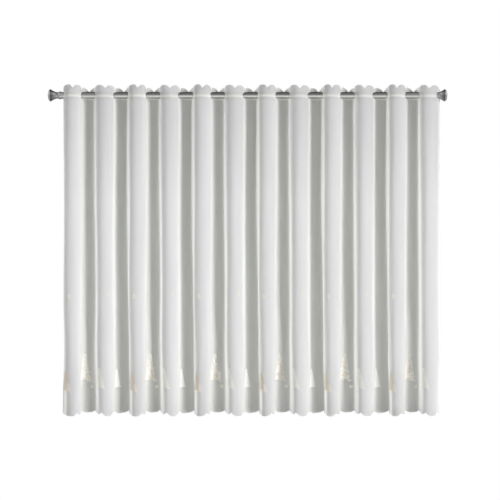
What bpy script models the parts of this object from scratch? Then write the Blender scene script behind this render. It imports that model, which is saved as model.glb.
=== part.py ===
"""Sheer voile curtain threaded on a plain metal rod with two turned finials.

Metres, +Z up, front towards -Y. The origin is the middle of the rod's axis, which lies along X.
The voile is one panel with scalloped top and hem. The rod runs through a hole in each side wall
of its folds, so it passes behind every front fold and in front of every back fold.
"""

import math
from collections import namedtuple

import bmesh
import bpy
from mathutils import Matrix

# Cut size of the voile and how it hangs
CLOTH_DROP = 1.450              # highest scallop of the top to lowest scallop of the hem
CLOTH_THICKNESS = 0.0012
TOP_ABOVE_ROD = 0.0418          # highest scallop above the rod's axis
SCALLOP_HEIGHT = 0.0120
STEPS_PER_SCALLOP = 6           # mesh columns in one scallop
ROW_HEIGHTS = (-0.034, -0.340, -0.680, -1.020, -1.330)   # mesh rows between top and hem

# Folds, which come in pairs that differ a little: a wide one, then one that leans
FOLD_PAIRS = 6
PAIR_PITCH = 0.2861             # from one pair to the next, along the rod
FIRST_FOLD_X = -0.7747          # crest of the leftmost front fold
STATIONS = 8                    # crests and walls in one pair
STRAIGHTENING_TOP = 0.004       # how square the folds are at the rod
STRAIGHTENING_HEM = 0.011       # and at the hem, where they hang free
FAN_CENTRE_X = 0.0106           # the folds turn outwards from here
FAN_PER_METRE = 1 / 4.2
SIDE_EDGE = 0.40                # the outermost walls turn straight back this early, in stations
SIDE_EDGE_TURN = 0.22           # and within this much cloth
SIDE_EDGE_TUCK = 0.002          # each side edge then leans in behind its fold

Station = namedtuple("Station", "place top_x top_y top_sag hem_x hem_y hem_rise")
PAIR = (
    Station("wide fold, crest", 0.0000, -0.044, 0.0000, -0.0090, -0.045, 0.0000),
    Station("wide fold, right wall", 0.0410, 0.000, 0.0020, 0.0362, -0.002, 0.0020),
    Station("first back fold", 0.0759, 0.047, 0.0065, 0.0706, 0.043, 0.0055),
    Station("leaning fold, left wall", 0.0984, 0.000, 0.0020, 0.1160, -0.006, 0.0020),
    Station("leaning fold, crest", 0.1421, -0.044, 0.0000, 0.1571, -0.042, 0.0000),
    Station("leaning fold, right wall", 0.1897, 0.000, 0.0020, 0.1871, 0.000, 0.0020),
    Station("second back fold", 0.2294, 0.047, 0.0065, 0.2171, 0.034, 0.0010),
    Station("next wide fold, left wall", 0.2462, 0.000, 0.0020, 0.2447, -0.002, 0.0005),
)

# Rod and the holes that it runs through
ROD_RADIUS = 0.0150
CLEARANCE = 0.0003              # between pieces that touch
HOLE_SIDES = 16
ROD_SIDES = 48
Holes = namedtuple("Holes", "name start_x end_x hole_radius hangs_on_radius")
HOLES = (
    Holes("hole_on_the_left_sleeve", -0.88, -0.80, 0.0190, 0.0166),
    Holes("holes_on_the_rod", -0.80, 0.80, 0.0168, ROD_RADIUS),
    Holes("hole_on_the_right_finial", 0.80, 0.88, 0.0195, 0.0184),
)

# Finial, a turned cap that is pushed over the rod's end
OVERALL_LENGTH = 1.760          # over both finials
FINIAL_LENGTH = 0.0610
SLEEVE_LENGTH = 0.0145
SLEEVE_RADIUS = 0.0165
SOCKET_DEPTH = 0.0130
NECK_RADIUS = 0.0140
TRUMPET_START = 0.0175
TRUMPET_FLARE = 1.7
RIM_START = 0.0487
RIM_END = 0.0515
RIM_RADIUS = 0.0275
EDGE_ROUND = 0.0008
TRUMPET_POINTS = 6
DOME_POINTS = 6
FINIAL_SIDES = 32


def material(name, colour, roughness, metallic):
    """Principled material with the part's own colour."""
    finish = bpy.data.materials.new(name)
    finish.use_nodes = True
    shader = finish.node_tree.nodes["Principled BSDF"]
    shader.inputs["Base Color"].default_value = (*colour, 1.0)
    shader.inputs["Roughness"].default_value = roughness
    shader.inputs["Metallic"].default_value = metallic
    return finish


def add_object(name, mesh, collection, finish=None):
    piece = bpy.data.objects.new(name, mesh)
    collection.objects.link(piece)
    if finish:
        mesh.materials.append(finish)
    return piece


def bar_mesh(name, radius, sides, start_x, end_x, height):
    """Round bar along X, with a flat of its polygon at the top."""
    middle = Matrix.Translation(((start_x + end_x) / 2, 0, height))
    lying = Matrix.Rotation(math.pi / 2, 4, "Y") @ Matrix.Rotation(math.pi / sides, 4, "Z")
    bar = bmesh.new()
    bmesh.ops.create_cone(bar, cap_ends=True, segments=sides, radius1=radius, radius2=radius,
                          depth=end_x - start_x, matrix=middle @ lying)
    mesh = bpy.data.meshes.new(name)
    bar.to_mesh(mesh)
    bar.free()
    return mesh


def station_value(column, place):
    """Smooth value of one column at any place along the cloth, the pairs repeating."""
    first = math.floor(place)
    part = place - first
    before, start, end, after = (
        getattr(PAIR[(first + step) % STATIONS], column)
        + (first + step) // STATIONS * (PAIR_PITCH if column.endswith("_x") else 0.0)
        for step in (-1, 0, 1, 2)
    )
    bend = 2 * before - 5 * start + 4 * end - after
    twist = 3 * (start - end) + after - before
    return start + part * ((end - before) + part * (bend + part * twist)) / 2


def between(top, hem, height):
    """Blend from the rod's shape to the hem's as a height goes down the cloth."""
    fallen = min(max(-height / (CLOTH_DROP - TOP_ABOVE_ROD), 0.0), 1.0)
    return top + (hem - top) * fallen


def fold_x(place, height):
    square = between(STRAIGHTENING_TOP, STRAIGHTENING_HEM, height) * math.sin(math.pi * place)
    run = between(station_value("top_x", place), station_value("hem_x", place), height)
    return FIRST_FOLD_X + run + square


def fold_point(place, height):
    """Where the cloth is, in plan, at a place along it and a height."""
    first_wall = SIDE_EDGE - 1
    last_wall = STATIONS * FOLD_PAIRS - 3 - SIDE_EDGE
    wall = min(max(place, first_wall), last_wall)
    past = abs(place - wall)
    x = fold_x(wall, height)
    if past:                                        # side edge, turned back behind its fold
        outwards = math.copysign(1, place - wall)
        slope = (fold_x(wall + 0.01, height) - fold_x(wall - 0.01, height)) / 0.02
        turned = slope * SIDE_EDGE_TURN * (1 - math.exp(-past / SIDE_EDGE_TURN))
        x += outwards * (turned - SIDE_EDGE_TUCK * past * past)
    y = between(station_value("top_y", place), station_value("hem_y", place), height)
    x = FAN_CENTRE_X + (x - FAN_CENTRE_X) * (1 + y * FAN_PER_METRE)
    return x, y


def scallop(phase):
    """Rounded scallop with a pointed notch: 0 in the notches, 1 in the middle."""
    across = 2 * (phase % 1) - 1
    return 1 - across * across


def build_curtain(collection, cutters, finish):
    """The voile panel: a folded sheet with scalloped edges and a hole in each wall."""
    scallops = STATIONS * FOLD_PAIRS
    sheet = bmesh.new()
    columns = []
    for step in range(scallops * STEPS_PER_SCALLOP + 1):
        place = step / STEPS_PER_SCALLOP - 2          # starts at a back fold's crest
        top = (TOP_ABOVE_ROD - SCALLOP_HEIGHT * (1 - scallop(place))
               - station_value("top_sag", place))
        hem = (TOP_ABOVE_ROD - CLOTH_DROP + SCALLOP_HEIGHT * (1 - scallop(place + 0.5))
               + station_value("hem_rise", place))
        column = []
        for height in (top, *ROW_HEIGHTS, hem):
            x, y = fold_point(place, height)
            column.append(sheet.verts.new((x, y, height)))
        columns.append(column)
    for left, right in zip(columns, columns[1:]):
        for row in range(len(left) - 1):
            sheet.faces.new((left[row + 1], right[row + 1], right[row], left[row]))
    mesh = bpy.data.meshes.new("curtain")
    sheet.to_mesh(mesh)
    sheet.free()
    mesh.shade_smooth()
    curtain = add_object("curtain", mesh, collection, finish)

    thickness = curtain.modifiers.new("thickness", "SOLIDIFY")
    thickness.thickness = CLOTH_THICKNESS
    thickness.offset = 0.0

    for row in HOLES:
        cutter = add_object(row.name, bar_mesh(
            row.name, row.hole_radius / math.cos(math.pi / HOLE_SIDES), HOLE_SIDES,
            row.start_x, row.end_x, row.hangs_on_radius + CLEARANCE - row.hole_radius), cutters)
        cutter.hide_render = True
        cutter.display_type = "WIRE"
        cut = curtain.modifiers.new(row.name, "BOOLEAN")
        cut.operation = "DIFFERENCE"
        cut.solver = "EXACT"
        cut.object = cutter
    return curtain


def build_rod(collection, finish):
    """The rod: a plain round bar that ends inside the two finials."""
    end_x = OVERALL_LENGTH / 2 - FINIAL_LENGTH + SOCKET_DEPTH - CLEARANCE
    mesh = bar_mesh("rod", ROD_RADIUS, ROD_SIDES, -end_x, end_x, 0.0)
    mesh.shade_smooth()
    mesh.set_sharp_from_angle(angle=math.radians(40))
    return add_object("rod", mesh, collection, finish)


def finial_profile():
    """(radius, distance from the sleeve's mouth) from the dome's tip round to the socket."""
    outline = []
    for step in range(DOME_POINTS):
        turn = math.pi / 2 * step / (DOME_POINTS - 1)
        outline.append(((RIM_RADIUS - EDGE_ROUND) * math.sin(turn),
                        RIM_END + (FINIAL_LENGTH - RIM_END) * math.cos(turn)))
    outline.append((RIM_RADIUS, RIM_END - EDGE_ROUND))
    for step in range(TRUMPET_POINTS + 1):
        fallen = step / TRUMPET_POINTS
        outline.append((NECK_RADIUS + (RIM_RADIUS - NECK_RADIUS) * (1 - fallen) ** TRUMPET_FLARE,
                        RIM_START + (TRUMPET_START - RIM_START) * fallen))
    outline += [
        (NECK_RADIUS, SLEEVE_LENGTH + 2 * EDGE_ROUND),
        (SLEEVE_RADIUS - EDGE_ROUND, SLEEVE_LENGTH + EDGE_ROUND),
        (SLEEVE_RADIUS, SLEEVE_LENGTH - EDGE_ROUND),
        (SLEEVE_RADIUS, EDGE_ROUND),
        (SLEEVE_RADIUS - EDGE_ROUND / 2, 0.0),
        (ROD_RADIUS + CLEARANCE, 0.0),
        (ROD_RADIUS + CLEARANCE, SOCKET_DEPTH),
        (0.0, SOCKET_DEPTH),
    ]
    return outline


def build_finial(name, side, collection, finish):
    """One finial; side is -1 at the left end of the rod and 1 at the right."""
    outline = finial_profile()
    profile = bmesh.new()
    points = [profile.verts.new((radius, 0, along)) for radius, along in outline]
    for start, end in zip(points, points[1:]):
        profile.edges.new((start, end))
    mesh = bpy.data.meshes.new(name)
    profile.to_mesh(mesh)
    profile.free()
    finial = add_object(name, mesh, collection, finish)
    finial.location = (side * (OVERALL_LENGTH / 2 - FINIAL_LENGTH), 0, 0)
    finial.rotation_euler = (0, side * math.pi / 2, 0)
    turned = finial.modifiers.new("turned", "SCREW")
    turned.steps = turned.render_steps = FINIAL_SIDES
    turned.use_merge_vertices = True
    turned.merge_threshold = 0.00001
    turned.use_smooth_shade = True
    return finial


def main():
    for old in list(bpy.data.objects):
        bpy.data.objects.remove(old, do_unlink=True)
    pieces = bpy.data.collections.new("sheer_voile_curtain")
    cutters = bpy.data.collections.new("cutters")
    bpy.context.scene.collection.children.link(pieces)
    bpy.context.scene.collection.children.link(cutters)

    voile = material("voile", (0.82, 0.82, 0.79), 0.85, 0.0)
    rod_metal = material("rod_metal", (0.46, 0.47, 0.46), 0.25, 1.0)
    finial_metal = material("finial_metal", (0.36, 0.37, 0.37), 0.18, 1.0)

    build_rod(pieces, rod_metal)
    build_finial("finial_left", -1, pieces, finial_metal)
    build_finial("finial_right", 1, pieces, finial_metal)
    build_curtain(pieces, cutters, voile)


main()
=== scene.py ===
import functools
import math
import random
from collections import namedtuple

import bmesh
import bpy
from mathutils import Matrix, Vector, noise


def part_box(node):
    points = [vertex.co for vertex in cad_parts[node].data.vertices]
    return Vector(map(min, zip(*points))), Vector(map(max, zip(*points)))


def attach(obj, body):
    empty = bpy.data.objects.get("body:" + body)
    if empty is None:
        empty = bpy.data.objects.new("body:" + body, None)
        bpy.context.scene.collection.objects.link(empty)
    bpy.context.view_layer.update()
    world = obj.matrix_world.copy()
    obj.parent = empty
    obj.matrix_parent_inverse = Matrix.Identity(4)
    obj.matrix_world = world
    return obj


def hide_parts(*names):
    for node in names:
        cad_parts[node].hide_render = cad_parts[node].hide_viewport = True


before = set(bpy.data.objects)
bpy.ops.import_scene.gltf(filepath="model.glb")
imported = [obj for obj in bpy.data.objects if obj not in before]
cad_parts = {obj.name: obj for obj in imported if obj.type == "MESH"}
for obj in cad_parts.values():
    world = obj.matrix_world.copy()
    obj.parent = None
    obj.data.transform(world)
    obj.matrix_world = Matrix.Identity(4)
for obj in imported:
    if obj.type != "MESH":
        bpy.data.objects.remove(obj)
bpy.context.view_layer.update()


# ------------------------------
# Curtain rod: a drawn steel tube, nickel plated and polished. The voile is threaded on it, and each
# of its ends is pushed into a finial, so that the cut ends never show.

ROD_RADIUS = 0.015
ROD_WALL = 0.001
ROD_SIDES = 96
ROD_EDGE_ANGLE = math.radians(40)
ROD_NICKEL = (0.64, 0.65, 0.63, 1)
ROD_ROUGHNESS = 0.15
ALONG_THE_ROD = (6, 900, 900)
POLISH_DEPTH = 0.00004
SMEARS_PER_METRE = 28.0


class Value:
    """One output of a shader node. Arithmetic on it adds Math nodes."""

    def __init__(self, finish, socket):
        self.finish = finish
        self.socket = socket

    def math(self, operation, *others):
        return self.finish.node("Math", {"operation": operation}, dict(enumerate((self, *others))))

    def __add__(self, other):
        return self.math("ADD", other)

    def __sub__(self, other):
        return self.math("SUBTRACT", other)

    def __rsub__(self, other):
        return self.finish.node("Math", {"operation": "SUBTRACT"}, {0: other, 1: self})

    def __mul__(self, other):
        return self.math("MULTIPLY", other)

    __radd__ = __add__
    __rmul__ = __mul__


class Finish:
    """A material, or the studio's surroundings, while its nodes are put together."""

    def __init__(self, owner):
        owner.use_nodes = True
        self.owner = owner
        self.nodes = owner.node_tree.nodes
        self.links = owner.node_tree.links
        self.nodes.clear()

    def node(self, kind, settings=None, sockets=None, output=0):
        made = self.nodes.new("ShaderNode" + kind)
        for name, setting in (settings or {}).items():
            if name == "stops":
                for stop in range(len(setting) - 2):
                    made.color_ramp.elements.new(0)
                for stop, (place, colour) in zip(made.color_ramp.elements, setting):
                    stop.position = place
                    stop.color = colour
            else:
                setattr(made, name, setting)
        for name, value in (sockets or {}).items():
            if isinstance(value, Value):
                self.links.new(value.socket, made.inputs[name])
            else:
                made.inputs[name].default_value = value
        return Value(self, made.outputs[output])

    def parts(self, vector):
        """The x, y and z of a vector."""
        x = self.node("SeparateXYZ", {}, {0: vector})
        others = [Value(self, x.socket.node.outputs[axis]) for axis in (1, 2)]
        return [x, *others]

    def stretched(self, vector, scale):
        return self.node("VectorMath", {"operation": "MULTIPLY"}, {0: vector, 1: scale})

    def share(self, value, start, end):
        """0 where a value is at its start, 1 where it is at its end."""
        return self.node("MapRange", {}, {"Value": value, "From Min": start, "From Max": end})

    def ramp(self, value, stops, tint=(1.0, 1.0, 1.0)):
        """The colour at a value. A stop is (value, colour), or (value, how light or dark the tint is)."""
        near, far = min(stops)[0], max(stops)[0]
        scaled = []
        for where, colour in sorted(stops):
            if not isinstance(colour, tuple):
                colour = (*(channel * colour for channel in tint[:3]), 1)
            scaled.append(((where - near) / (far - near), colour))
        return self.node("ValToRGB", {"stops": scaled}, {0: (value - near) * (1 / (far - near))})

    def grey(self, light):
        return self.node("CombineColor", {}, {0: light, 1: light, 2: light})

    def mix(self, share, one, other):
        return self.node("Mix", {"data_type": "RGBA"}, {0: share, 6: one, 7: other}, 2)

    def shaded(self, colour, shade, share=1.0):
        """A colour multiplied by another, wholly or in part."""
        settings = {"data_type": "RGBA", "blend_type": "MULTIPLY"}
        return self.node("Mix", settings, {0: share, 6: colour, 7: shade}, 2)

    def surface(self, shader, kind="Material"):
        end = self.nodes.new("ShaderNodeOutput" + kind)
        self.links.new(shader.socket, end.inputs["Surface"])
        return self.owner


def polished_nickel(name, colour, roughness, across_grain, painted_shades=()):
    """
    Nickel plate with fine polishing lines. across_grain is small along the lines and large across them;
    painted_shades are painted reflections, as (distance from the rod's middle, how much lighter or darker the
    plate is painted there).
    """
    finish = Finish(bpy.data.materials.new(name))
    place = finish.node("TexCoord", {}, {}, "Object")
    # Painted reflections: the plate's colour is made lighter or darker along the rod
    if painted_shades:
        along, _, _ = finish.parts(place)
        colour = finish.ramp(along.math("ABSOLUTE"), painted_shades, colour)
    lines = finish.node("TexNoise", {}, {"Vector": finish.stretched(place, across_grain), "Scale": 1.0,
                                         "Detail": 4.0, "Roughness": 0.65})
    smears = finish.node("TexNoise", {}, {"Vector": place, "Scale": SMEARS_PER_METRE, "Detail": 3.0})
    relief = finish.node("Bump", {}, {"Strength": 0.25, "Distance": POLISH_DEPTH, "Height": lines})
    dull = 0.75 + lines * 0.35 + smears * 0.3
    return finish.surface(finish.node("BsdfPrincipled", {}, {
        "Base Color": colour, "Metallic": 1.0, "Roughness": roughness * dull, "Normal": relief}))


def select(piece):
    bpy.ops.object.select_all(action="DESELECT")
    piece.select_set(True)
    bpy.context.view_layer.objects.active = piece


def finished(piece, material):
    """Puts the piece's place in its mesh and gives it its finish."""
    select(piece)
    bpy.ops.object.transform_apply(location=True, rotation=True, scale=True)
    piece.data.materials.clear()
    piece.data.materials.append(material)
    piece.select_set(False)
    return piece


def make_rod():
    low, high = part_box("rod")
    bpy.ops.mesh.primitive_cylinder_add(
        vertices=ROD_SIDES, radius=ROD_RADIUS, depth=high.x - low.x, end_fill_type="NOTHING",
        location=((low.x + high.x) / 2, 0, 0), rotation=(0, math.pi / 2, 0))
    tube = bpy.context.object
    tube.name = "curtain_rod"
    wall = tube.modifiers.new("wall", "SOLIDIFY")
    wall.thickness = ROD_WALL
    wall.offset = -1
    bpy.ops.object.modifier_apply(modifier=wall.name)
    bpy.ops.object.shade_smooth_by_angle(angle=ROD_EDGE_ANGLE)
    return finished(tube, polished_nickel("rod_nickel", ROD_NICKEL, ROD_ROUGHNESS, ALONG_THE_ROD))


rod = make_rod()
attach(rod, "root")
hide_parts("rod")


# ------------------------------
# Finials: two turned brass caps, plated like the rod but darker. Each has a sleeve that grips the
# rod's end, a groove, a neck that flares like a trumpet, a rolled rim and a low dome.

FINIAL_LENGTH = 0.0610
SLEEVE_LENGTH = 0.0145
SLEEVE_RADIUS = 0.0165
SLEEVE_BULGE = 0.0004
SLEEVE_ROUNDING = 0.0009
SLEEVE_CORNER = 0.0004
SLEEVE_SHOULDER = 0.0014
GROOVE_RADIUS = 0.0132
GROOVE_FLAT = 0.0004
GROOVE_SHOULDER = 0.0006
NECK_RADIUS = 0.0140
TRUMPET_START = 0.0185
TRUMPET_FLARE = 1.7
RIM_START = 0.0487
RIM_END = 0.0515
RIM_RADIUS = 0.0275
RIM_GROOVE = 0.0006
SOCKET_RADIUS = 0.0153
SOCKET_DEPTH = 0.0130
DOME_STEPS = 16
LIP_STEPS = 8
TRUMPET_STEPS = 24
SLEEVE_STEPS = 12
FINIAL_STEPS = 64
FINIAL_EDGE_ANGLE = math.radians(35)
FINIAL_NICKEL = (0.50, 0.51, 0.50, 1)
FINIAL_ROUGHNESS = 0.26
ROUND_THE_TURNING = (1400, 40, 40)

# Painted reflections on the finials' plate: painted dark in the hollow under the rim, and painted highlights
# on the rim's outer edge and on the sleeve, as (distance from the rod's middle, how much lighter or darker)
FINIAL_PAINTED_REFLECTIONS = ((0.819, 1.25), (0.836, 1.15), (0.852, 0.80), (0.862, 0.34), (0.8675, 0.34), (0.869, 1.30),
                 (0.871, 1.90), (0.876, 1.90), (0.880, 1.00))


def finial_outline():
    """(radius, distance from the sleeve's mouth), from the dome's tip round to the socket's bottom."""
    dome_foot = RIM_RADIUS - 3 * RIM_GROOVE
    outline = []
    for step in range(DOME_STEPS + 1):
        turn = math.pi / 2 * step / DOME_STEPS
        outline.append((dome_foot * math.sin(turn), RIM_END + (FINIAL_LENGTH - RIM_END) * math.cos(turn)))
    outline.append((dome_foot + RIM_GROOVE / 2, RIM_END - RIM_GROOVE))
    lip = (RIM_END - RIM_START) / 2
    for step in range(LIP_STEPS + 1):
        turn = math.pi * step / LIP_STEPS
        outline.append((RIM_RADIUS - lip + lip * math.sin(turn), RIM_START + lip + lip * math.cos(turn)))
    for step in range(1, TRUMPET_STEPS + 1):
        down = step / TRUMPET_STEPS
        outline.append((NECK_RADIUS + (RIM_RADIUS - lip - NECK_RADIUS) * (1 - down) ** TRUMPET_FLARE,
                        RIM_START + (TRUMPET_START - RIM_START) * down))
    groove = (SLEEVE_LENGTH + TRUMPET_START) / 2
    outline += [(NECK_RADIUS, TRUMPET_START - GROOVE_SHOULDER), (GROOVE_RADIUS, groove + GROOVE_FLAT),
                (GROOVE_RADIUS, groove - GROOVE_FLAT), (NECK_RADIUS, SLEEVE_LENGTH + GROOVE_SHOULDER),
                (SLEEVE_RADIUS - SLEEVE_SHOULDER, SLEEVE_LENGTH)]
    for step in range(SLEEVE_STEPS + 1):
        along = step / SLEEVE_STEPS
        bulge = 1 - (2 * along - 1) ** 4
        outline.append((SLEEVE_RADIUS - SLEEVE_ROUNDING + SLEEVE_ROUNDING * bulge + SLEEVE_BULGE * bulge,
                        (SLEEVE_LENGTH - SLEEVE_CORNER) * (1 - along) + SLEEVE_CORNER * along))
    outline += [(SOCKET_RADIUS, 0.0), (SOCKET_RADIUS, SOCKET_DEPTH), (0.0, SOCKET_DEPTH)]
    return outline


def placed(name, shape):
    """A new object in the scene, from a mesh, a lamp or a camera."""
    made = bpy.data.objects.new(name, shape)
    bpy.context.collection.objects.link(made)
    return made


def make_finial(name, side, material):
    """A finial turned from its outline; side is -1 at the rod's left end and 1 at its right end."""
    outline = finial_outline()
    points = [(0, 0, outline[0][1])]
    for radius, along in outline[1:-1]:
        for step in range(FINIAL_STEPS):
            turn = 2 * math.pi * step / FINIAL_STEPS
            points.append((radius * math.cos(turn), radius * math.sin(turn), along))
    end = len(points)
    points.append((0, 0, outline[-1][1]))
    faces = []
    for step in range(FINIAL_STEPS):
        after = (step + 1) % FINIAL_STEPS
        faces.append((0, 1 + step, 1 + after))
        for ring in range(1, end - FINIAL_STEPS, FINIAL_STEPS):
            following = ring + FINIAL_STEPS
            faces.append((ring + step, following + step, following + after, ring + after))
        faces.append((end - FINIAL_STEPS + step, end, end - FINIAL_STEPS + after))
    mesh = bpy.data.meshes.new(name)
    mesh.from_pydata(points, [], faces)
    finial = placed(name, mesh)
    select(finial)
    finial.rotation_euler = (0, side * math.pi / 2, 0)
    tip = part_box("finial_right")[1].x if side > 0 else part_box("finial_left")[0].x
    finial.location = (tip - side * FINIAL_LENGTH, 0, 0)
    bpy.ops.object.shade_smooth_by_angle(angle=FINIAL_EDGE_ANGLE)
    return finished(finial, material)


finial_metal = polished_nickel("finial_nickel", FINIAL_NICKEL, FINIAL_ROUGHNESS, ROUND_THE_TURNING,
                               FINIAL_PAINTED_REFLECTIONS)
for side, node in ((-1, "finial_left"), (1, "finial_right")):
    finial = make_finial("turned_" + node, side, finial_metal)
    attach(finial, "root")
    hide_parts(node)


# ------------------------------
# Curtain: one length of sheer voile, 3.00 m wide and 1.45 m high as cut, with scallops along its top
# and its hem. It hangs in pairs of folds, a wide one and one that leans, and the rod runs through a
# hole in each side wall of the folds. A place on it is counted in scallops from the first crest.

CUT_WIDTH = 3.00
CUT_HEIGHT = 1.45
SCALLOP_WIDTH = 0.0625
TOP_ABOVE_ROD = 0.0418
FOLD_PAIRS = 6
PAIR_PITCH = 0.2861
PAIR_SCALLOPS = 8
FIRST_FOLD_X = -0.7747
FAN_CENTRE_X = 0.0106
FAN_PER_METRE = 1 / 4.2
FIRST_PLACE = -2
LAST_PLACE = PAIR_SCALLOPS * FOLD_PAIRS - 2

# How far inside the outermost walls the cloth begins to turn straight back, in scallops, how soon it
# has turned, and how far its side edges tuck in
LEFT_SIDE_EDGE = 0.40
RIGHT_SIDE_EDGE = 0.20
SIDE_EDGE_TURN = 0.22
SIDE_EDGE_TUCK = 0.002

# How the cloth runs round a pair of folds, at five heights: how far the wide fold's crest lies to the
# right of its place on the rod, and the cloth's heading every third of a scallop, in degrees. 0 is to
# the right and 90 is straight back from the room.
Level = namedtuple("Level", "height crest headings")
LEVELS = (
    Level(-0.073, 0.0019, (7, 31, 63, 74, 65, 54, 9, -64, -82, -80, -49, -20,
                            8, 38, 45, 73, 73, 26, 5, -86, -75, -86, -62, -24)),
    Level(-0.462, 0.0011, (8, 30, 50, 86, 63, 54, -3, -59, -75, -75, -59, -14,
                            27, 42, 50, 74, 72, 33, -14, -75, -79, -76, -73, -24)),
    Level(-0.903, -0.0052, (-6, 20, 50, 85, 53, 51, -7, -41, -72, -82, -59, -8,
                            17, 42, 64, 75, 67, 46, 0, -53, -93, -86, -79, -35)),
    Level(-1.114, -0.0018, (1, 26, 63, 59, 51, 65, -16, -59, -66, -86, -54, -11,
                            22, 48, 56, 74, 63, 48, -7, -42, -91, -100, -64, -46)),
    Level(-1.335, -0.0034, (-16, 14, 62, 93, 52, 30, 13, -40, -73, -68, -71, -13,
                            19, 54, 69, 58, 55, 54, -5, -38, -108, -103, -53, -46)),
)
STEPS_PER_SCALLOP = 12

# The scallops of the top and of the hem in each pair of folds: where the notch to the left of each is,
# where the scallop stands out furthest, and how far the two fall short of the panel's full height, in
# metres. The back folds are held less, so that they fall shorter.
Scallop = namedtuple("Scallop", "notch notch_short peak peak_short")
TOP_SCALLOPS = (
    Scallop(-1.00, 0.021, -0.24, 0.0010),
    Scallop(0.00, 0.017, 0.42, 0.0006),
    Scallop(1.00, 0.018, 1.44, 0.0030),
    Scallop(2.00, 0.022, 2.50, 0.0040),
    Scallop(3.00, 0.018, 3.56, 0.0012),
    Scallop(4.00, 0.017, 4.42, 0.0008),
    Scallop(5.00, 0.018, 5.54, 0.0040),
    Scallop(6.00, 0.022, 6.50, 0.0040),
)
HEM_SCALLOPS = (
    Scallop(-0.8333, 0.015, -0.10, 0.000),
    Scallop(0.4167, 0.014, 0.70, 0.006),
    Scallop(1.2500, 0.022, 1.92, 0.006),
    Scallop(2.4167, 0.017, 3.15, 0.007),
    Scallop(3.5833, 0.018, 4.15, 0.000),
    Scallop(4.7500, 0.013, 4.92, 0.011),
    Scallop(5.0833, 0.014, 5.75, 0.000),
    Scallop(6.4167, 0.016, 6.80, 0.004),
)
SCALLOP_FULLNESS = 2.4

# Soft creases in each pair of folds, counted from the wide fold's crest: where a crease lies and how
# wide it is, in scallops, how far it stands out of the cloth, in metres, the heights between which it
# runs, and how far it drifts to the right on its way down, in scallops.
Crease = namedtuple("Crease", "name place width depth top bottom drift")
CREASES = (
    Crease("short pull under the wide fold's left hole", -0.50, 0.14, -0.0005, -0.02, -0.30, 0.35),
    Crease("low ridge on the wide fold", -0.20, 0.16, 0.0003, -0.20, -1.10, 0.10),
    Crease("short pull under the wide fold's right hole", 0.55, 0.12, -0.0004, -0.03, -0.26, -0.30),
    Crease("trough in the first back fold", 2.20, 0.20, -0.0006, -0.04, -1.20, 0.12),
    Crease("pull across the first back fold's hem", 1.70, 0.16, 0.0005, -1.05, -1.40, 0.15),
    Crease("long pull from the leaning fold's left hole", 3.45, 0.13, -0.0005, -0.02, -0.50, 0.30),
    Crease("low ridge on the leaning fold", 4.05, 0.16, 0.0003, -0.30, -1.38, 0.08),
    Crease("short pull under the leaning fold's right hole", 4.55, 0.13, -0.0005, -0.02, -0.36, -0.30),
    Crease("slack low on the leaning fold", 3.75, 0.17, 0.0004, -0.95, -1.40, 0.12),
    Crease("trough in the second back fold", 5.90, 0.20, -0.0005, -0.04, -1.38, 0.05),
)

# A crease fades out over its last 10 cm and strays a little, and all of a pair's creases lie within
# 5 scallops of its middle
CREASE_ENDS = 0.10
CREASE_STRAY = 0.05
CREASES_MIDDLE = 2.6
CREASES_REACH = 5

# The left edge of every wide fold but the first leans in to the right towards the hem: how far, where in
# its pair, how wide a part of it, and the heights between which it sets in
LEAN_IN = 0.008
LEAN_IN_PLACE = -0.90
LEAN_IN_WIDTH = 0.55
LEAN_IN_FROM = -1.12
LEAN_IN_TO = -1.33

# Besides, the cloth is a little uneven all over, and sways a little from side to side towards the hem
UNEVEN = 0.0006
UNEVEN_ACROSS = 1.3
UNEVEN_DOWN = 2.6
SWAY = 0.0010
SWAY_ACROSS = 0.7
SWAY_DOWN = 9.0

# How far apart two places are from which the cloth's direction is taken
SLOPE_STEP = 0.02


def curve_through(values, place):
    """The value at a place on a closed Catmull-Rom curve through evenly spaced values."""
    first = math.floor(place)
    part = place - first
    before, start, end, after = (values[(first + step) % len(values)] for step in (-1, 0, 1, 2))
    bend = 2 * before - 5 * start + 4 * end - after
    twist = 3 * (start - end) + after - before
    return start + part * ((end - before) + part * (bend + part * twist)) / 2


def fold_line(level):
    """The cloth's path round a pair of folds, step by step: x off its even share of the pair, and y."""
    steps = PAIR_SCALLOPS * STEPS_PER_SCALLOP
    x = y = 0.0
    path = []
    for step in range(steps):
        path.append((x - PAIR_PITCH * step / steps, y))
        heading = math.radians(curve_through(level.headings, (step + 0.5) / steps * len(level.headings)))
        x += math.cos(heading) * SCALLOP_WIDTH / STEPS_PER_SCALLOP
        y += math.sin(heading) * SCALLOP_WIDTH / STEPS_PER_SCALLOP
    off_x = [along - (x - PAIR_PITCH) * step / steps for step, (along, _) in enumerate(path)]
    depth = [back - y * step / steps for step, (_, back) in enumerate(path)]
    middle = (min(depth) + max(depth)) / 2
    return off_x, [back - middle for back in depth]


fold_lines = [fold_line(level) for level in LEVELS]


def fold_x(number, place):
    off_x = curve_through(fold_lines[number][0], place * STEPS_PER_SCALLOP)
    return FIRST_FOLD_X + LEVELS[number].crest + PAIR_PITCH * place / PAIR_SCALLOPS + off_x


@functools.cache
def down_the_levels(place):
    """The cloth's x and y at each level, at a place. Past the outermost walls it runs straight back."""
    wall = min(max(place, FIRST_PLACE + 1 + LEFT_SIDE_EDGE), LAST_PLACE - 1 - RIGHT_SIDE_EDGE)
    past = abs(place - wall)
    outwards = math.copysign(1, place - wall)
    xs, ys = [], []
    for number, (_, depth) in enumerate(fold_lines):
        x = fold_x(number, wall)
        if past:
            right, left = (fold_x(number, wall + side * SLOPE_STEP / 2) for side in (1, -1))
            slope = (right - left) / SLOPE_STEP
            turned = slope * SIDE_EDGE_TURN * (1 - math.exp(-past / SIDE_EDGE_TURN))
            x += outwards * (turned - SIDE_EDGE_TUCK * past * past)
        xs.append(x)
        ys.append(curve_through(depth, place * STEPS_PER_SCALLOP))
    return xs, ys


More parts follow.
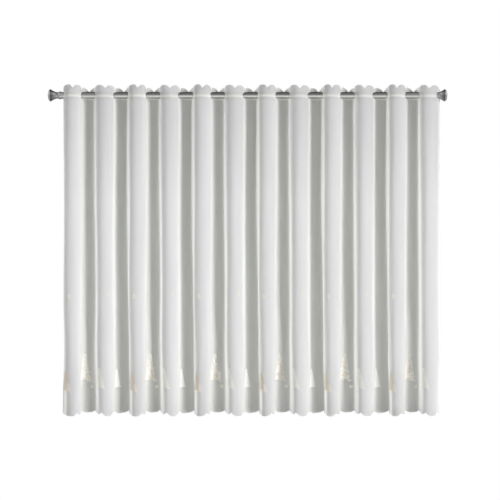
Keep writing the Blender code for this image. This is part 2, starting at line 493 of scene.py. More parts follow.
def between_levels(values, height):
    """The value at a height, on a smooth curve through its values at the levels."""
    heights = [level.height for level in LEVELS]
    height = min(max(height, heights[-1]), heights[0])
    lower = 1
    while heights[lower] > height:
        lower += 1
    upper = lower - 1
    drop = heights[lower] - heights[upper]
    part = (height - heights[upper]) / drop
    slopes = []
    for number in (upper, lower):
        inside = 0 < number < len(heights) - 1
        slopes.append((values[number + 1] - values[number - 1]) / (heights[number + 1] - heights[number - 1])
                      * drop if inside else 0.0)
    start, end = values[upper], values[lower]
    square, cube = part * part, part * part * part
    return (start * (2 * cube - 3 * square + 1) + end * (3 * square - 2 * cube)
            + slopes[0] * (cube - 2 * square + part) + slopes[1] * (cube - square))


@functools.cache
def fold_point(place, height):
    """(x, y) of the cloth's smooth folds."""
    xs, ys = down_the_levels(place)
    y = between_levels(ys, height)
    x = between_levels(xs, height)
    half = PAIR_SCALLOPS / 2
    if height < LEAN_IN_FROM and half < place < LAST_PLACE - 2:
        off = (place - LEAN_IN_PLACE + half) % PAIR_SCALLOPS - half
        share = min((LEAN_IN_FROM - height) / (LEAN_IN_FROM - LEAN_IN_TO), 1.0)
        x += LEAN_IN * share * share * (3 - 2 * share) * math.exp(-(off / LEAN_IN_WIDTH) ** 2)
    return FAN_CENTRE_X + (x - FAN_CENTRE_X) * (1 + y * FAN_PER_METRE), y


def fallen(height):
    """0 at the rod and 1 at the hem."""
    return min(max(-height / (CUT_HEIGHT - TOP_ABOVE_ROD), 0.0), 1.0)


def crease_lift(place, height):
    """How far the creases push the cloth towards the room, in metres."""
    lift = UNEVEN * noise.noise(Vector((place * UNEVEN_ACROSS, height * UNEVEN_DOWN, 7.0)))
    for pair in range(-1, FOLD_PAIRS + 1):
        if abs(place - pair * PAIR_SCALLOPS - CREASES_MIDDLE) > CREASES_REACH:
            continue
        for number, crease in enumerate(CREASES):
            run = min(crease.top - height, height - crease.bottom) / CREASE_ENDS
            if run > 0:
                stray = CREASE_STRAY * noise.noise(Vector((pair * 3.1, number * 1.7, height * 2.0)))
                centre = pair * PAIR_SCALLOPS + crease.place + crease.drift * fallen(height) + stray
                strength = min(run, 1.0) ** 2 * (3 - 2 * min(run, 1.0))
                lift += crease.depth * strength * math.exp(-((place - centre) / crease.width) ** 2)
    return lift


def cloth_frame(place, height):
    """The point of the creased cloth at a place and a height, and the ways forward out of it and along it."""
    x, y = fold_point(place, height)
    before = fold_point(place - SLOPE_STEP, height)
    after = fold_point(place + SLOPE_STEP, height)
    along = Vector((after[0] - before[0], after[1] - before[1], 0)).normalized()
    front = Vector((along.y, -along.x, 0))
    sway = SWAY * fallen(height) * math.sin(height * SWAY_DOWN + place * SWAY_ACROSS)
    return Vector((x + sway, y, height)) + front * crease_lift(place, height), front, along


def short_of_edge(scallops, place):
    """How far a scalloped edge falls short of the panel's full height at a place."""
    first = scallops[0]
    place = first.notch + (place - first.notch) % PAIR_SCALLOPS
    ends = [*scallops, first._replace(notch=first.notch + PAIR_SCALLOPS)]
    number = max(number for number, end in enumerate(ends[:-1]) if end.notch <= place)
    scallop, following = ends[number], ends[number + 1]
    end = scallop if place < scallop.peak else following
    across = (place - scallop.peak) / (end.notch - scallop.peak)
    return scallop.peak_short + (end.notch_short - scallop.peak_short) * across ** SCALLOP_FULLNESS


def top_edge(place):
    return TOP_ABOVE_ROD - short_of_edge(TOP_SCALLOPS, place)


def hem_edge(place):
    return TOP_ABOVE_ROD - CUT_HEIGHT + short_of_edge(HEM_SCALLOPS, place)


# The grid of the sheet. Its rows above, across and just below the rod's holes are narrow, and its cells
# around each hole are drawn into rings.
COLUMNS_PER_SCALLOP = 12
HOLE_COLUMNS = 4
HOLE_ROWS = 4
ROWS_ABOVE = 4
ROWS_BELOW = 112
HOLE_RADIUS = 0.0168
HOLE_CENTRE_Z = -0.0015
LEFT_HOLE_RADIUS = 0.0190
LEFT_HOLE_CENTRE_Z = -0.0021
RIGHT_HOLE_RADIUS = 0.0195
RIGHT_HOLE_CENTRE_Z = -0.0008

columns = (LAST_PLACE - FIRST_PLACE) * COLUMNS_PER_SCALLOP
middle_row = ROWS_ABOVE + HOLE_ROWS
last_hole_row = ROWS_ABOVE + 3 * HOLE_ROWS
rows = last_hole_row + ROWS_BELOW

Hole = namedtuple("Hole", "place depth_per_scallop radius height")


@functools.cache
def hole_in(wall):
    """The hole of a side wall: the place where the wall crosses the rod's line, and its size and height."""
    front, back = wall - 0.5, wall + 0.5
    if fold_point(front, 0.0)[1] > fold_point(back, 0.0)[1]:
        front, back = back, front
    for _ in range(20):
        middle = (front + back) / 2
        if fold_point(middle, 0.0)[1] < 0:
            front = middle
        else:
            back = middle
    depth = abs(fold_point(middle + 0.25, 0.0)[1] - fold_point(middle - 0.25, 0.0)[1]) / 0.5
    if wall < 0:
        return Hole(middle, depth, LEFT_HOLE_RADIUS, LEFT_HOLE_CENTRE_Z)
    if wall > LAST_PLACE - 2:
        return Hole(middle, depth, RIGHT_HOLE_RADIUS, RIGHT_HOLE_CENTRE_Z)
    return Hole(middle, depth, HOLE_RADIUS, HOLE_CENTRE_Z)


def row_height(place, row):
    """The height of a row of the grid where it passes a place."""
    hole_top = HOLE_CENTRE_Z + HOLE_RADIUS
    if row <= ROWS_ABOVE:
        return top_edge(place) + (hole_top - top_edge(place)) * row / ROWS_ABOVE
    pitch = HOLE_RADIUS / HOLE_ROWS
    height = hole_top - pitch * (min(row, last_hole_row) - ROWS_ABOVE)
    return height + (hem_edge(place) - height) * max(row - last_hole_row, 0) / ROWS_BELOW


def grid_place(column, row):
    """(place, height) of a point of the grid, drawn into a ring where it lies round a hole."""
    place = FIRST_PLACE + column / COLUMNS_PER_SCALLOP
    height = row_height(place, row)
    wall = 2 * math.floor(place / 2) + 1
    across = (place - wall) * COLUMNS_PER_SCALLOP / HOLE_COLUMNS
    up = (middle_row - row) / HOLE_ROWS
    ring = max(abs(across), abs(up))
    if ring >= 2 or ring == 0:
        return place, height
    hole = hole_in(wall)
    length = math.hypot(across, up)
    round_place = hole.place + hole.radius * ring * across / length / hole.depth_per_scallop
    round_height = hole.height + hole.radius * ring * up / length
    share = min(2 - ring, 1)
    return place + (round_place - place) * share, height + (round_height - height) * share


def make_curtain():
    grid = bmesh.new()
    bmesh.ops.create_grid(grid, x_segments=columns, y_segments=rows, size=0.5)
    weave = grid.loops.layers.uv.new("weave")
    in_hole = []
    flat = {}
    for corner in grid.verts:
        column = round((corner.co.x + 0.5) * columns)
        row = round((0.5 - corner.co.y) * rows)
        flat[corner] = grid_place(column, row)
        wall_column = (column // COLUMNS_PER_SCALLOP // 2 * 2 + 1) * COLUMNS_PER_SCALLOP
        if abs(column - wall_column) < HOLE_COLUMNS and abs(row - middle_row) < HOLE_ROWS:
            in_hole.append(corner)
    for face in grid.faces:
        for loop in face.loops:
            place, height = flat[loop.vert]
            loop[weave].uv = (place * SCALLOP_WIDTH, height)
    for corner, (place, height) in flat.items():
        corner.co = cloth_frame(place, height)[0]
    bmesh.ops.delete(grid, geom=in_hole, context="VERTS")
    bmesh.ops.reverse_faces(grid, faces=grid.faces)
    mesh = bpy.data.meshes.new("voile_curtain")
    grid.to_mesh(mesh)
    grid.free()
    mesh.shade_smooth()
    return placed("voile_curtain", mesh)


THREAD_PITCH = 0.0006
THREAD_RELIEF = 0.0001
SLUB_STRETCH = (150, 2.5, 1)
LIGHT_THROUGH = 0.45
CLOSENESS = 0.9

# FACE_TINT is the voile's own colour; the other tints are light and shade painted on its folds
FACE_TINT = (0.892, 0.890, 0.897, 1)
WALL_PAINTED_LIGHT = (0.930, 0.938, 0.905, 1)
BACK_PAINTED_SHADE = (0.892, 0.906, 0.862, 1)
BAND_PAINTED_HIGHLIGHT = (0.975, 0.985, 0.945, 1)
LINE_PAINTED_SHADE = (0.835, 0.838, 0.838, 1)
HEM_WALL_PAINTED_LIGHT = (1.0, 1.0, 0.97, 1)
HEM_FLANK_PAINTED_SHADE = (0.82, 0.83, 0.79, 1)

# The voile's painted light and shade round a pair of folds, as (place, tint): each front fold has a painted
# cream highlight band down its left edge and a grey line of painted shade beside it, its side walls are
# painted lighter, and the back folds are painted in the greener grey of their shade
FOLD_PAINTED_LIGHT_AND_SHADE = ((0.0, FACE_TINT), (0.9, FACE_TINT), (1.25, WALL_PAINTED_LIGHT), (1.60, WALL_PAINTED_LIGHT), (2.0, BACK_PAINTED_SHADE),
         (2.35, BACK_PAINTED_SHADE), (2.55, BAND_PAINTED_HIGHLIGHT), (3.05, BAND_PAINTED_HIGHLIGHT), (3.25, LINE_PAINTED_SHADE), (3.45, LINE_PAINTED_SHADE),
         (3.7, FACE_TINT), (4.7, FACE_TINT), (5.0, WALL_PAINTED_LIGHT), (5.4, WALL_PAINTED_LIGHT), (5.8, BACK_PAINTED_SHADE),
         (6.8, BACK_PAINTED_SHADE), (7.05, BAND_PAINTED_HIGHLIGHT), (7.35, BAND_PAINTED_HIGHLIGHT), (7.50, LINE_PAINTED_SHADE), (7.62, LINE_PAINTED_SHADE),
         (7.85, FACE_TINT))

# The same at the hem, where the wide fold's painted cream highlight lies further in, the walls are painted
# lighter, and a flank beside the band is painted darker as shade
HEM_PAINTED_LIGHT_AND_SHADE = ((0.0, FACE_TINT), (0.9, FACE_TINT), (1.25, WALL_PAINTED_LIGHT), (1.55, HEM_WALL_PAINTED_LIGHT),
             (1.85, HEM_WALL_PAINTED_LIGHT), (2.1, BACK_PAINTED_SHADE), (2.35, BACK_PAINTED_SHADE), (2.65, BAND_PAINTED_HIGHLIGHT), (3.15, BAND_PAINTED_HIGHLIGHT),
             (3.30, LINE_PAINTED_SHADE), (3.45, LINE_PAINTED_SHADE), (3.7, FACE_TINT), (4.7, FACE_TINT), (5.0, WALL_PAINTED_LIGHT),
             (5.35, HEM_WALL_PAINTED_LIGHT), (5.65, HEM_WALL_PAINTED_LIGHT), (5.9, BACK_PAINTED_SHADE), (6.8, BACK_PAINTED_SHADE),
             (7.0, HEM_FLANK_PAINTED_SHADE), (7.28, HEM_FLANK_PAINTED_SHADE), (7.36, BAND_PAINTED_HIGHLIGHT), (7.56, BAND_PAINTED_HIGHLIGHT),
             (7.66, LINE_PAINTED_SHADE), (7.82, LINE_PAINTED_SHADE), (7.95, FACE_TINT))
HEM_PAINTED_FROM = -1.23
HEM_PAINTED_TO = -1.33

# And how much darker or lighter each fold's top is painted, as painted shade and light
TOP_PAINTED_SHADES = ((0.0, 0.94), (1.0, 0.95), (1.6, 1.0), (2.6, 1.0), (3.1, 1.05), (4.4, 1.04), (5.2, 1.0),
              (6.8, 1.0), (7.2, 0.93))
TOP_PAINTED_FROM = 0.004
TOP_PAINTED_TO = 0.018

# How light the voile is painted down its length: painted shade makes it a little greyer at the top and the
# hem, and painted light makes it lighter in a thin line along the rod
LENGTH_PAINTED_LIGHT_AND_SHADE = ((0.0418, 0.77), (0.020, 0.86), (0.008, 0.94), (-0.001, 0.96), (-0.0045, 1.0), (-0.009, 1.0),
             (-0.014, 0.95), (-0.020, 0.905), (-0.073, 0.905), (-0.462, 1.0), (-0.903, 1.015), (-1.114, 1.0),
             (-1.335, 0.975), (-1.408, 0.95))

# A thin cream line painted to glow on the voile, standing in for the polished rod's shine through it, as
# (height, light)
ROD_PAINTED_GLOW = ((0.0418, 0.0), (0.001, 0.0), (-0.0025, 0.06), (-0.005, 0.38), (-0.009, 0.38), (-0.011, 0.06),
             (-0.0135, 0.0), (-1.408, 0.0))
PAINTED_GLOW_TINT = (1.0, 0.99, 0.82)

# The wide fold's band is painted to glow brighter at the hem, as (place, light)
BAND_PAINTED_GLOW = ((0.0, 0.0), (7.26, 0.0), (7.38, 0.16), (7.54, 0.16), (7.66, 0.0), (8.0, 0.0))


def voile_finish():
    finish = Finish(bpy.data.materials.new("sheer_voile"))
    place = finish.node("UVMap", {"uv_map": "weave"})
    across, height, _ = finish.parts(place)
    pair = across * (1 / (SCALLOP_WIDTH * PAIR_SCALLOPS))
    in_pair = pair.math("FRACT") * PAIR_SCALLOPS
    at_hem = finish.share(height, HEM_PAINTED_FROM, HEM_PAINTED_TO)
    at_top = finish.share(height, TOP_PAINTED_FROM, TOP_PAINTED_TO)
    # Painted light and shade: the tint round the folds, at the folds' tops and down the length
    shade = finish.mix(at_hem, finish.ramp(in_pair, FOLD_PAINTED_LIGHT_AND_SHADE), finish.ramp(in_pair, HEM_PAINTED_LIGHT_AND_SHADE))
    shade = finish.shaded(shade, finish.ramp(in_pair, TOP_PAINTED_SHADES), at_top)
    shade = finish.shaded(shade, finish.ramp(height, LENGTH_PAINTED_LIGHT_AND_SHADE))
    # Painted glow along the rod's line and in the wide fold's band at the hem
    painted_glow_colour = finish.mix(at_hem, finish.ramp(height, ROD_PAINTED_GLOW, PAINTED_GLOW_TINT),
                       finish.ramp(in_pair, BAND_PAINTED_GLOW, PAINTED_GLOW_TINT))
    slub = finish.node("TexNoise", {}, {"Vector": finish.stretched(place, SLUB_STRETCH), "Scale": 1.0,
                                        "Detail": 3.0})
    shade = finish.shaded(shade, finish.node("CombineColor", {}, {
        0: slub * 0.06 + 0.97, 1: slub * 0.06 + 0.97, 2: slub * 0.055 + 0.9725}))
    warp = (across * (2 * math.pi / THREAD_PITCH)).math("SINE")
    weft = (height * (2 * math.pi / THREAD_PITCH)).math("SINE")
    relief = finish.node("Bump", {}, {"Strength": 0.3, "Distance": THREAD_RELIEF, "Height": warp + weft})
    cloth = finish.node("BsdfPrincipled", {}, {
        "Base Color": shade, "Roughness": 0.8, "Specular IOR Level": 0.15, "Normal": relief,
        "Emission Color": painted_glow_colour, "Emission Strength": 1.0})
    through = finish.node("BsdfTranslucent", {}, {"Color": shade})
    body = finish.node("MixShader", {}, {0: LIGHT_THROUGH, 1: cloth, 2: through})
    gap = finish.node("BsdfTransparent")
    solid = CLOSENESS + warp * 0.02 + weft * 0.02
    return finish.surface(finish.node("MixShader", {}, {0: solid, 1: gap, 2: body}))


curtain = finished(make_curtain(), voile_finish())
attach(curtain, "root")
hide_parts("curtain")


# ------------------------------
# Edging: the voile's edges are rolled and overcast with the same white thread, all round the panel
# and round each hole for the rod.

EDGING_RADIUS = 0.0006
OVERCAST_RADIUS = 0.0008
OVERCAST_PITCH = 0.0020
EDGING_SIDES = 6
EDGING_TINT = (0.86, 0.865, 0.845, 0)
TWIST_PER_METRE = 900.0
CLOUDS_PER_METRE = 60.0
TWIST_RELIEF = 0.0001


class Needlework:
    """Thread sewn on the cloth, while its solid shapes are put together."""

    def __init__(self):
        self.points = []
        self.faces = []
        self.tints = []

    def add(self, points, faces, tint):
        first = len(self.points)
        self.points += points
        self.faces += [[first + corner for corner in face] for face in faces]
        self.tints += [tint] * len(points)

    def roll(self, line, tint):
        """A closed roll of overcast thread round a line of (place, height) points."""
        frames = [cloth_frame(place, height) for place, height in line]
        count = len(frames)
        points, faces = [], []
        for number, (centre, front, _) in enumerate(frames):
            ahead = (frames[(number + 1) % count][0] - frames[number - 1][0]).normalized()
            side = ahead.cross(front).normalized()
            up = side.cross(ahead)
            radius = OVERCAST_RADIUS if number % 2 else EDGING_RADIUS
            for spoke in range(EDGING_SIDES):
                turn = 2 * math.pi * spoke / EDGING_SIDES
                points.append(centre + (side * math.cos(turn) + up * math.sin(turn)) * radius)
                after = (spoke + 1) % EDGING_SIDES
                ring, following = number * EDGING_SIDES, (number + 1) % count * EDGING_SIDES
                faces.append((ring + spoke, ring + after, following + after, following + spoke))
        self.add(points, faces, tint)

    def piece(self, name, material):
        mesh = bpy.data.meshes.new(name)
        mesh.from_pydata(self.points, [], self.faces)
        tints = mesh.color_attributes.new("thread", "FLOAT_COLOR", "POINT")
        tints.data.foreach_set("color", [channel for tint in self.tints for channel in tint])
        shape = bmesh.new()
        shape.from_mesh(mesh)
        bmesh.ops.recalc_face_normals(shape, faces=shape.faces)
        shape.to_mesh(mesh)
        shape.free()
        mesh.shade_smooth()
        return finished(placed(name, mesh), material)


def thread_finish(name, roughness, lustre):
    """Thread or glass of the colour it has at each stitch, painted to glow by the share given with it, with
    fine twist.
    """
    finish = Finish(bpy.data.materials.new(name))
    tint = finish.node("Attribute", {"attribute_name": "thread"})
    # The colour's fourth value is how much the thread is painted to glow
    painted_glow = Value(finish, tint.socket.node.outputs["Alpha"])
    place = finish.node("TexCoord", {}, {}, "Object")
    twist = finish.node("TexNoise", {}, {"Vector": place, "Scale": TWIST_PER_METRE, "Detail": 2.0})
    cloud = finish.node("TexNoise", {}, {"Vector": place, "Scale": CLOUDS_PER_METRE, "Detail": 2.0})
    shade = finish.shaded(tint, finish.grey(0.9 + twist * 0.1 + cloud * 0.1))
    relief = finish.node("Bump", {}, {"Strength": 0.4, "Distance": TWIST_RELIEF, "Height": twist})
    return finish.surface(finish.node("BsdfPrincipled", {}, {
        "Base Color": shade, "Roughness": roughness + cloud * 0.1, "Specular IOR Level": lustre,
        "Emission Color": finish.shaded(shade, finish.grey(painted_glow)), "Emission Strength": 1.0,
        "Normal": relief}))


def panel_edge():
    """The panel's edge as (place, height) points: along the top, down, back along the hem and up."""
    across = round(CUT_WIDTH / OVERCAST_PITCH)
    down = round(CUT_HEIGHT / OVERCAST_PITCH)
    first, last = FIRST_PLACE, LAST_PLACE
    line = []
    for step in range(across):
        place = first + (last - first) * step / across
        line.append((place, top_edge(place)))
    for step in range(down):
        line.append((last, top_edge(last) + (hem_edge(last) - top_edge(last)) * step / down))
    for step in range(across):
        place = last - (last - first) * step / across
        line.append((place, hem_edge(place)))
    for step in range(down):
        line.append((first, hem_edge(first) + (top_edge(first) - hem_edge(first)) * step / down))
    return line


def hole_edge(hole):
    steps = 2 * round(math.pi * hole.radius / OVERCAST_PITCH)
    line = []
    for step in range(steps):
        turn = 2 * math.pi * step / steps
        line.append((hole.place + hole.radius * math.cos(turn) / hole.depth_per_scallop,
                     hole.height + hole.radius * math.sin(turn)))
    return line


overcast = Needlework()
overcast.roll(panel_edge(), EDGING_TINT)
for wall in range(FIRST_PLACE + 1, LAST_PLACE, 2):
    overcast.roll(hole_edge(hole_in(wall)), EDGING_TINT)
edging = overcast.piece("overcast_edging", thread_finish("overcast_thread", 0.6, 0.3))
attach(edging, "root")


# ------------------------------
# Embroidery: fir trees and stars sewn on the voile above its hem and repeated in each pair of folds.
# The copper, cream and white trees are satin stitch; the pearly one is beads and seed pearls.

STITCH_BEHIND = 0.00015
STITCH_RAISED = 0.00050
LONGEST_STITCH = 0.008
STITCH_SLANT = 0.15
STITCH_COVER = 0.9
STITCH_ENDS = 0.2
BOUGHS = 7
BOUGH_DEPTH = 0.22
TIP_SHARE = 0.24
CORNER_START = 0.62
CLUSTER_SIZE = 0.0060
CLUSTER_CONTRAST = 1.6
BRIGHT_CLUSTER = 0.15
DULL_CLUSTER = -0.15

# Thread colours, each with how much it is painted to glow, as painted light
COPPER = (0.80, 0.70, 0.575, 0.05)
ROSE = (0.94, 0.83, 0.71, 0.08)
STRAW = (0.93, 0.90, 0.78, 0.20)
CREAM = (0.83, 0.835, 0.765, 0.13)
WHITE = (0.98, 0.98, 0.97, 0.36)
PEARL = (0.97, 0.95, 0.91, 0.26)
IVORY = (0.89, 0.86, 0.79, 0.22)
BLUSH = (0.93, 0.84, 0.79, 0.14)
GOLD = (0.86, 0.80, 0.67, 0.22)
PAINTED_SPARKLE = (0.97, 0.95, 0.88, 0.36)
LINEN = (0.83, 0.81, 0.75, 0.17)
TRUNK_WHITE = (0.90, 0.905, 0.89, 0.14)
PALE_STRAW = (0.88, 0.86, 0.77, 0.0)
PALE_WHITE = (0.89, 0.89, 0.88, 0.0)

# Where each tree's tip is, how tall it is, how wide to its left and right, how much lower its right
# foot is than its middle, how close its stitches are, how uneven in shade, and its threads: the main
# one, and the one in its lower right corner
Tree = namedtuple("Tree", "name place tip height left right lean pitch mottling thread corner_thread")
SATIN_TREES = (
    Tree("copper tree", -0.50, -1.212, 0.084, 0.032, 0.032, 0.003, 0.0013, 0.09, COPPER, ROSE),
    Tree("cream tree", 3.34, -1.198, 0.085, 0.032, 0.036, 0.001, 0.0014, 0.07, CREAM, CREAM),
    Tree("white tree", 5.17, -1.208, 0.081, 0.010, 0.040, -0.003, 0.0013, 0.05, WHITE, WHITE),
    Tree("ground of the pearly tree", 1.48, -1.142, 0.110, 0.036, 0.044, 0.008, 0.0014, 0.16, LINEN, LINEN),
)
PEARL_TREE = Tree("pearls", 1.48, -1.140, 0.113, 0.039, 0.047, 0.008, 0.0046, 0.12, PEARL, GOLD)

# In all pairs but the first the copper tree stands further in, as the fold's edge does
COPPER_TREE_IN = 0.10

# Beads: how many of them are large, the smallest of each kind and how much larger the others are, and
# how far up or down one strays
LARGE_BEADS = 0.24
LARGE_RADIUS = 0.0026
LARGE_SPREAD = 0.0006
SEED_RADIUS = 0.0009
SEED_SPREAD = 0.0004
BEAD_STRAY = 0.001
BEAD_SIDES = 8

# Which of them are light, gold or blushing, as shares of their number or of the tree's size
LIGHT_SEEDS = 0.3
GOLD_FROM = 0.25
GOLD_ELSEWHERE = 0.5
BLUSH_DOWN = 0.75
BLUSH_LEFT = 0.6

# The pearly tree's trunk, in a few long stitches
TRUNK_PLACE = 1.30
TRUNK_TOP = -1.262
TRUNK_LENGTH = 0.018
TRUNK_STITCHES = 4
TRUNK_PITCH = 0.0012
TRUNK_STITCH_WIDTH = 0.0011

# Where each star's middle is, how long and how wide its stitches are, and its thread
Star = namedtuple("Star", "place height radius width thread")
STARS = (
    Star(2.17, -1.289, 0.0115, 0.0030, STRAW),
    Star(-0.16, -0.886, 0.0140, 0.0034, PALE_STRAW),
    Star(1.03, -0.966, 0.0130, 0.0032, PALE_WHITE),
    Star(4.10, -0.874, 0.0125, 0.0018, PALE_STRAW),
)
STAR_POINTS = 6
STAR_SHORT_RAY = 0.6
STAR_HOLE = 0.0004
FIRST_SEED = 41


def sew(work, start, end, width, tint):
    """A raised stitch between two (place, height) points, as a long low closed ridge."""
    (tail, tail_front, _), (head, head_front, _) = cloth_frame(*start), cloth_frame(*end)
    run = head - tail
    side = tail_front.cross(run).normalized() * (width / 2)
    points = [tail - side - tail_front * STITCH_BEHIND, tail + side - tail_front * STITCH_BEHIND,
              head + side - head_front * STITCH_BEHIND, head - side - head_front * STITCH_BEHIND,
              tail + run * STITCH_ENDS + tail_front * STITCH_RAISED,
              head - run * STITCH_ENDS + head_front * STITCH_RAISED]
    work.add(points, [(0, 3, 2, 1), (1, 2, 5, 4), (3, 0, 4, 5), (0, 1, 4), (2, 3, 5)], tint)


def bead(work, place, height, radius, tint):
    """A round bead, flat where it is sewn on."""
    centre, front, along = cloth_frame(place, height)
    up = Vector((0, 0, 1))
    points = []
    for share, rise in ((0.95, -STITCH_BEHIND), (1.0, radius * 0.35), (0.7, radius * 0.85)):
        for spoke in range(BEAD_SIDES):
            turn = 2 * math.pi * spoke / BEAD_SIDES
            spread = (along * math.cos(turn) + up * math.sin(turn)) * radius * share
            points.append(centre + front * rise + spread)
    tip = len(points)
    points.append(centre + front * radius * 1.1)
    sides = [(spoke, (spoke + 1) % BEAD_SIDES) for spoke in range(BEAD_SIDES)]
    faces = [tuple(range(BEAD_SIDES))]
    for ring in (0, BEAD_SIDES):
        faces += [(ring + spoke, ring + after, ring + BEAD_SIDES + after, ring + BEAD_SIDES + spoke)
                  for spoke, after in sides]
    last = tip - BEAD_SIDES
    faces += [(last + spoke, last + after, tip) for spoke, after in sides]
    work.add(points, faces, tint)


def bough_reach(down):
    """How far a fir tree's boughs reach at a share of its height, in a zigzag from tip to foot."""
    part = (down * BOUGHS) % 1
    return (TIP_SHARE + (1 - TIP_SHARE) * down) * (1 - BOUGH_DEPTH + BOUGH_DEPTH * part)


def tree_height(tree, down, across):
    """The height of a point of a tree, at a share of the way down and a distance across."""
    return tree.tip - down * (tree.height + tree.lean * across / tree.right) - abs(across) * STITCH_SLANT


def clustering(across, height, pair):
    """Between about -1 and 1, and alike in each small cluster of stitches or beads."""
    cluster = Vector((across / CLUSTER_SIZE, height / CLUSTER_SIZE, pair * 7.3))
    return CLUSTER_CONTRAST * noise.noise(cluster)


def either_way(chance):
    return 2 * chance.random() - 1


def tinted(tint, light):
    return tuple(min(channel * light, 1.0) for channel in tint[:3]) + tint[3:]


def satin_tree(work, tree, pair, chance):
    middle = pair * PAIR_SCALLOPS + tree.place
    if pair and tree.place < 0:
        middle += COPPER_TREE_IN
    for row in range(round(tree.height / tree.pitch)):
        down = (row + 0.5) * tree.pitch / tree.height
        for reach in (-tree.left, tree.right):
            width = reach * bough_reach(down) * (0.95 + 0.1 * chance.random())
            pieces = math.ceil(abs(width) / LONGEST_STITCH)
            for number in range(pieces):
                ends = []
                for share in (number / pieces + 0.01, (number + 0.97) / pieces):
                    across = width * share
                    ends.append((middle + across / SCALLOP_WIDTH, tree_height(tree, down, across)))
                in_corner = reach > 0 and down > CORNER_START and number
                tint = tree.corner_thread if in_corner else tree.thread
                light = 1 + tree.mottling * clustering(across, ends[1][1], pair) + 0.06 * either_way(chance)
                sew(work, *ends, tree.pitch * STITCH_COVER, tinted(tint, light))


def pearl_tree(work, tree, pair, chance):
    for row in range(round(tree.height / tree.pitch)):
        down = (row + 0.5) * tree.pitch / tree.height
        reach = bough_reach(down)
        across = -tree.left * reach
        while across < tree.right * reach:
            large = chance.random() < LARGE_BEADS
            smallest, spread = (LARGE_RADIUS, LARGE_SPREAD) if large else (SEED_RADIUS, SEED_SPREAD)
            radius = smallest + spread * chance.random()
            place = pair * PAIR_SCALLOPS + tree.place + across / SCALLOP_WIDTH
            height = tree_height(tree, down, across) + BEAD_STRAY * either_way(chance)
            cluster = clustering(across, height, pair)
            # Beads in bright clusters are painted to sparkle with a stronger glow
            if cluster > BRIGHT_CLUSTER:
                tint = PAINTED_SPARKLE
            else:
                tint = tree.thread if large or chance.random() < LIGHT_SEEDS else IVORY
            if cluster < DULL_CLUSTER and (
                    across > GOLD_FROM * tree.right or chance.random() < GOLD_ELSEWHERE):
                tint = tree.corner_thread
            elif down > BLUSH_DOWN and across < -BLUSH_LEFT * tree.left:
                tint = BLUSH
            light = 1 + tree.mottling * cluster + 0.05 * either_way(chance)
            bead(work, place, height, radius, tinted(tint, light))
            across += 2 * radius + tree.pitch * (0.2 + 0.5 * chance.random())


def satin_trunk(work, pair):
    for number in range(TRUNK_STITCHES):
        across = (number - (TRUNK_STITCHES - 1) / 2) * TRUNK_PITCH
        place = pair * PAIR_SCALLOPS + TRUNK_PLACE + across / SCALLOP_WIDTH
        sew(work, (place, TRUNK_TOP), (place, TRUNK_TOP - TRUNK_LENGTH), TRUNK_STITCH_WIDTH, TRUNK_WHITE)


def satin_star(work, star, pair, chance):
    place = pair * PAIR_SCALLOPS + star.place
    for ray in range(2 * STAR_POINTS):
        turn = math.pi * ray / STAR_POINTS
        long_ray = ray % 2 == 0
        ends = []
        for reach in (STAR_HOLE, star.radius if long_ray else star.radius * STAR_SHORT_RAY):
            ends.append((place + reach * math.sin(turn) / SCALLOP_WIDTH,
                         star.height + reach * math.cos(turn)))
        sew(work, *ends, star.width, tinted(star.thread, 1 + 0.04 * either_way(chance)))


satin = Needlework()
pearls = Needlework()
for pair in range(FOLD_PAIRS):
    chance = random.Random(FIRST_SEED + pair)
    for tree in SATIN_TREES:
        satin_tree(satin, tree, pair, chance)
    for star in STARS:
        satin_star(satin, star, pair, chance)
    satin_trunk(satin, pair)
    pearl_tree(pearls, PEARL_TREE, pair, chance)
satin_trees = satin.piece("satin_trees_and_stars", thread_finish("satin_thread", 0.38, 0.5))
pearl_trees = pearls.piece("pearl_trees", thread_finish("bead_glass", 0.2, 0.6))
for sewn in (satin_trees, pearl_trees):
    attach(sewn, "root")


# ------------------------------
# Studio: the camera where the photograph was taken from, 4.2 m in front of the rod and 68 cm below
# it, a pale round floor, and soft light from the right, with less from the left and from behind.

CAMERA_DISTANCE = 4.2
CAMERA_HEIGHT = -0.6821
CAMERA_X = 0.0106
VIEW_WIDTH = 2.206
SENSOR = 36

camera = bpy.data.cameras.new("camera")
camera.sensor_width = SENSOR
camera.lens = SENSOR * CAMERA_DISTANCE / VIEW_WIDTH
camera_stand = placed("camera", camera)
camera_stand.location = (CAMERA_X, -CAMERA_DISTANCE, CAMERA_HEIGHT)
camera_stand.rotation_euler = (math.pi / 2, 0, 0)
bpy.context.scene.camera = camera_stand
bpy.context.scene.view_settings.view_transform = "Standard"

# How far round to the right of the camera each light stands and how high, in degrees, how strong it is
# and how soft, in degrees too
Light = namedtuple("Light", "name turn rise strength softness")
LIGHTS = (
    Light("window on the right", 54, 4, 3.58, 30),
    Light("edge light on the right", 85, 4, 0.53, 10),
    Light("lamp behind on the right", 125, 4, 0.93, 8),
    Light("lamp behind on the left", 242, 4, 0.82, 12),
    Light("fill on the left", 305, 4, 1.58, 8),
)
for light in LIGHTS:
    lamp = bpy.data.lights.new(light.name, "SUN")
    lamp.energy = light.strength
    lamp.angle = math.radians(light.softness)
    stand = placed(light.name, lamp)
    turn, rise = math.radians(light.turn), math.radians(light.rise)
    towards = Vector((math.sin(turn) * math.cos(rise), -math.cos(turn) * math.cos(rise), math.sin(rise)))
    stand.rotation_euler = towards.to_track_quat("Z", "Y").to_euler()
    stand.visible_glossy = False

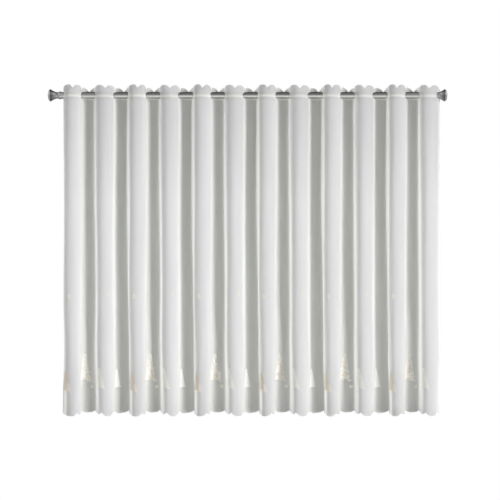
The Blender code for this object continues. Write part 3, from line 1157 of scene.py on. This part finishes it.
FLOOR_HEIGHT = -2.5
FLOOR_RADIUS = 1.3
FLOOR_THICKNESS = 0.02
FLOOR_TINT = (0.86, 0.86, 0.86, 1)
FLOOR_GLOW = 0.6
bpy.ops.mesh.primitive_cylinder_add(vertices=128, radius=FLOOR_RADIUS, depth=FLOOR_THICKNESS,
                                    location=(0, 0, FLOOR_HEIGHT - FLOOR_THICKNESS / 2))
floor = bpy.context.object
floor.name = "floor"
pale = Finish(bpy.data.materials.new("pale_floor"))
floor.data.materials.append(pale.surface(pale.node("BsdfPrincipled", {}, {
    "Base Color": FLOOR_TINT, "Roughness": 0.9, "Emission Color": FLOOR_TINT,
    "Emission Strength": FLOOR_GLOW})))
floor.visible_diffuse = False
floor.visible_glossy = False

# What the polished metal reflects: the wall behind the camera, pale low down, and the side walls, pale
# higher up, as (how high, how bright), where -1 is straight down and 1 straight up
WALL_SHINE = ((-1.0, 0.30), (-0.92, 0.48), (-0.75, 0.85), (-0.60, 0.98), (-0.30, 0.60), (-0.10, 0.34),
              (0.2, 0.20), (0.5, 0.13), (1.0, 0.10))
SIDE_SHINE = ((-1.0, 0.42), (-0.60, 0.46), (-0.30, 0.34), (-0.10, 0.38), (0.2, 0.62), (0.5, 0.84),
              (0.75, 0.74), (1.0, 0.50))
WALL_LIGHT = 1.15
SIDES_FROM = 0.18
SIDES_TO = 0.24

# How much of it there is from the wall behind the camera (-1) to the one behind the curtain (1)
DEPTH_SHINE = ((-1.0, 1.0), (-0.15, 1.0), (0.15, 0.16), (0.70, 0.16), (0.90, 0.80), (1.0, 0.80))
ROOM_LIGHT = 0.05

world = bpy.data.worlds.new("studio")
bpy.context.scene.world = world
room = Finish(world)
ray = room.node("LightPath", {}, {}, "Is Camera Ray")
glossy = room.node("LightPath", {}, {}, "Is Glossy Ray")
direction = room.node("TexCoord", {}, {}, "Generated")
right, back, up = room.parts(direction)
sideways = room.share(right.math("ABSOLUTE"), SIDES_FROM, SIDES_TO)
wall = room.mix(sideways, room.ramp(up, WALL_SHINE), room.ramp(up, SIDE_SHINE))
shone = glossy * wall * room.ramp(back, DEPTH_SHINE) * WALL_LIGHT
strength = ray + (1 - ray) * (ROOM_LIGHT + shone)
background = room.node("Background", {}, {"Color": (1, 1, 1, 1), "Strength": strength})
room.surface(background, "World")
